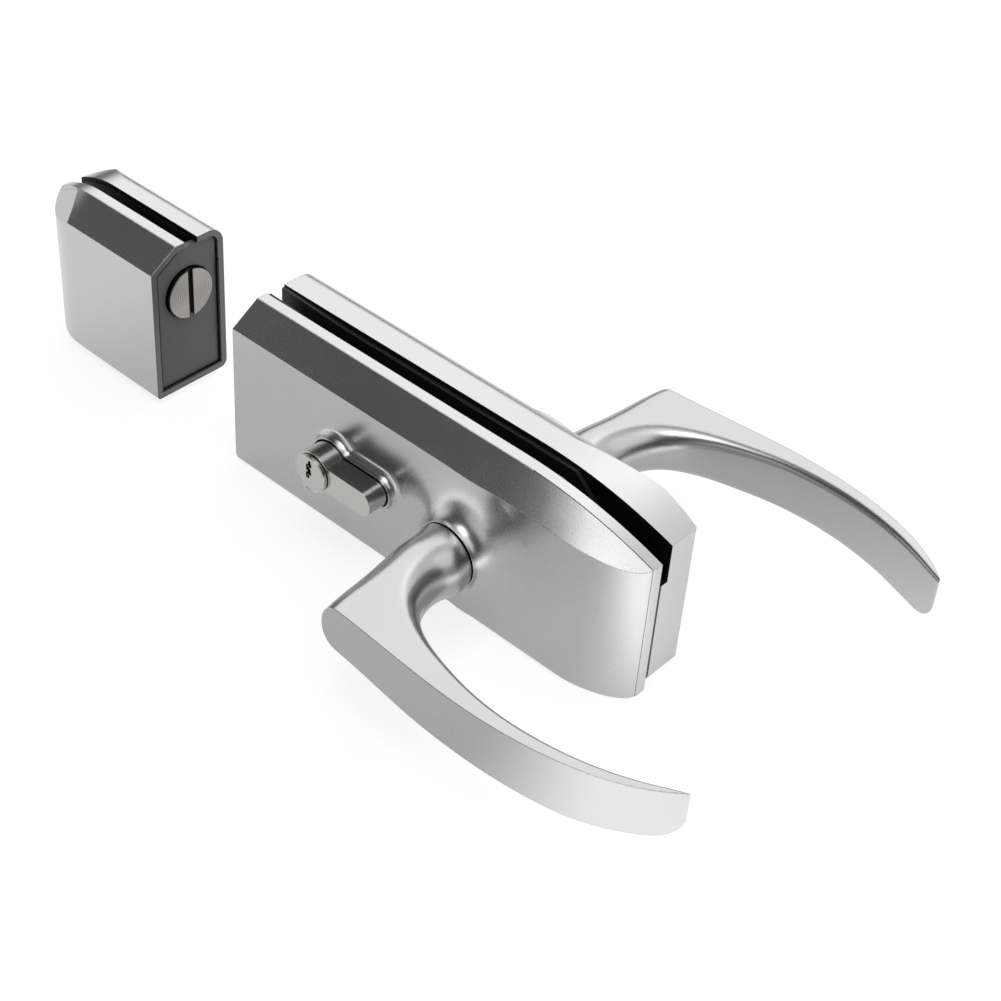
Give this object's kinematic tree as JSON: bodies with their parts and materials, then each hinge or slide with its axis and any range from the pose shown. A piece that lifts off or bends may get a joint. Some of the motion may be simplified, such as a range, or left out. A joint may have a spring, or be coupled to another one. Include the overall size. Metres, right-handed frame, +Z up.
{
  "type": "glass door lever lock",
  "caption": "Lever lock for a frameless glass door: slotted clamp body, two curved lever handles, profile key cylinder, sliding latch and dead bolt, and a separate matching keeper.",
  "frame": {"origin": "on the lock's glass seat, on the mid-plane of the glass, straight above the spindle", "axes": "+X along the lock towards the levers' tips, -Y the front face, +Z up into the glass"},
  "size_m": [0.3393, 0.1644, 0.063],
  "materials": {
    "satin_cover": "satin",
    "lever_satin": "satin",
    "cylinder_nickel": "satin",
    "disc_nickel": "brushed",
    "end_plate_grey": "satin",
    "liner_rubber": "matte",
    "case_steel": "zinc plated",
    "screw_steel": "plain",
    "bush_plastic": "matte"
  },
  "bodies": {
    "lock_body": {"front_cover": "satin_cover", "front_plate": "satin_cover", "back_body": "satin_cover", "gasket_front": "liner_rubber", "gasket_back": "liner_rubber", "cover_screws": "screw_steel", "plate_screws": "screw_steel", "lock_case": "case_steel", "case_lid": "case_steel", "case_screws": "screw_steel", "bush_front": "bush_plastic", "bush_back": "bush_plastic", "return_spring": "screw_steel", "cylinder_body": "cylinder_nickel", "cylinder_screw": "screw_steel", "keeper_front_cover": "satin_cover", "keeper_front_plate": "satin_cover", "keeper_back_body": "satin_cover", "keeper_front_gasket": "liner_rubber", "keeper_back_gasket": "liner_rubber", "keeper_screws": "screw_steel", "keeper_end_plate": "end_plate_grey", "keeper_disc": "disc_nickel"},
    "lever_set": {"lever_front": "lever_satin", "lever_back": "lever_satin", "spindle": "case_steel", "follower": "case_steel", "set_screw_front": "screw_steel", "set_screw_back": "screw_steel"},
    "latch": {"latch_bolt": "case_steel", "latch_link": "case_steel"},
    "front_key_core": {"plug_front": "cylinder_nickel", "cylinder_cam": "case_steel"},
    "back_key_plug": {"plug_back": "cylinder_nickel"},
    "dead_bolt_body": {"dead_bolt": "case_steel"}
  },
  "joints": [
    {"name": "lever_turn", "type": "hinge", "parent": "lock_body", "child": "lever_set", "pos_m": [0, 0, -0.0095], "axis": [0, 1, 0], "range_deg": [0, 40], "stiffness_Nm_per_rad": 2, "springref_deg": -20.05},
    {"name": "latch_slide", "type": "slide", "parent": "lock_body", "child": "latch", "axis": [1, 0, 0], "range_m": [0, 0.0095]},
    {"name": "front_key_turn", "type": "hinge", "parent": "lock_body", "child": "front_key_core", "pos_m": [-0.0584, 0, -0.0095], "axis": [0, 1, 0], "range_deg": [0, 80]},
    {"name": "back_key_turn", "type": "hinge", "parent": "lock_body", "child": "back_key_plug", "pos_m": [-0.0584, 0, -0.0095], "axis": [0, 1, 0], "range_deg": [0, 80]},
    {"name": "dead_bolt_slide", "type": "slide", "parent": "lock_body", "child": "dead_bolt_body", "axis": [-1, 0, 0], "range_m": [0, 0.01478]}
  ],
  "couplings": [
    {"joint": "latch_slide", "follows": "lever_turn", "m_per_rad": 0.01335},
    {"joint": "front_key_turn", "follows": "dead_bolt_slide", "rad_per_m": 94.43}
  ]
}
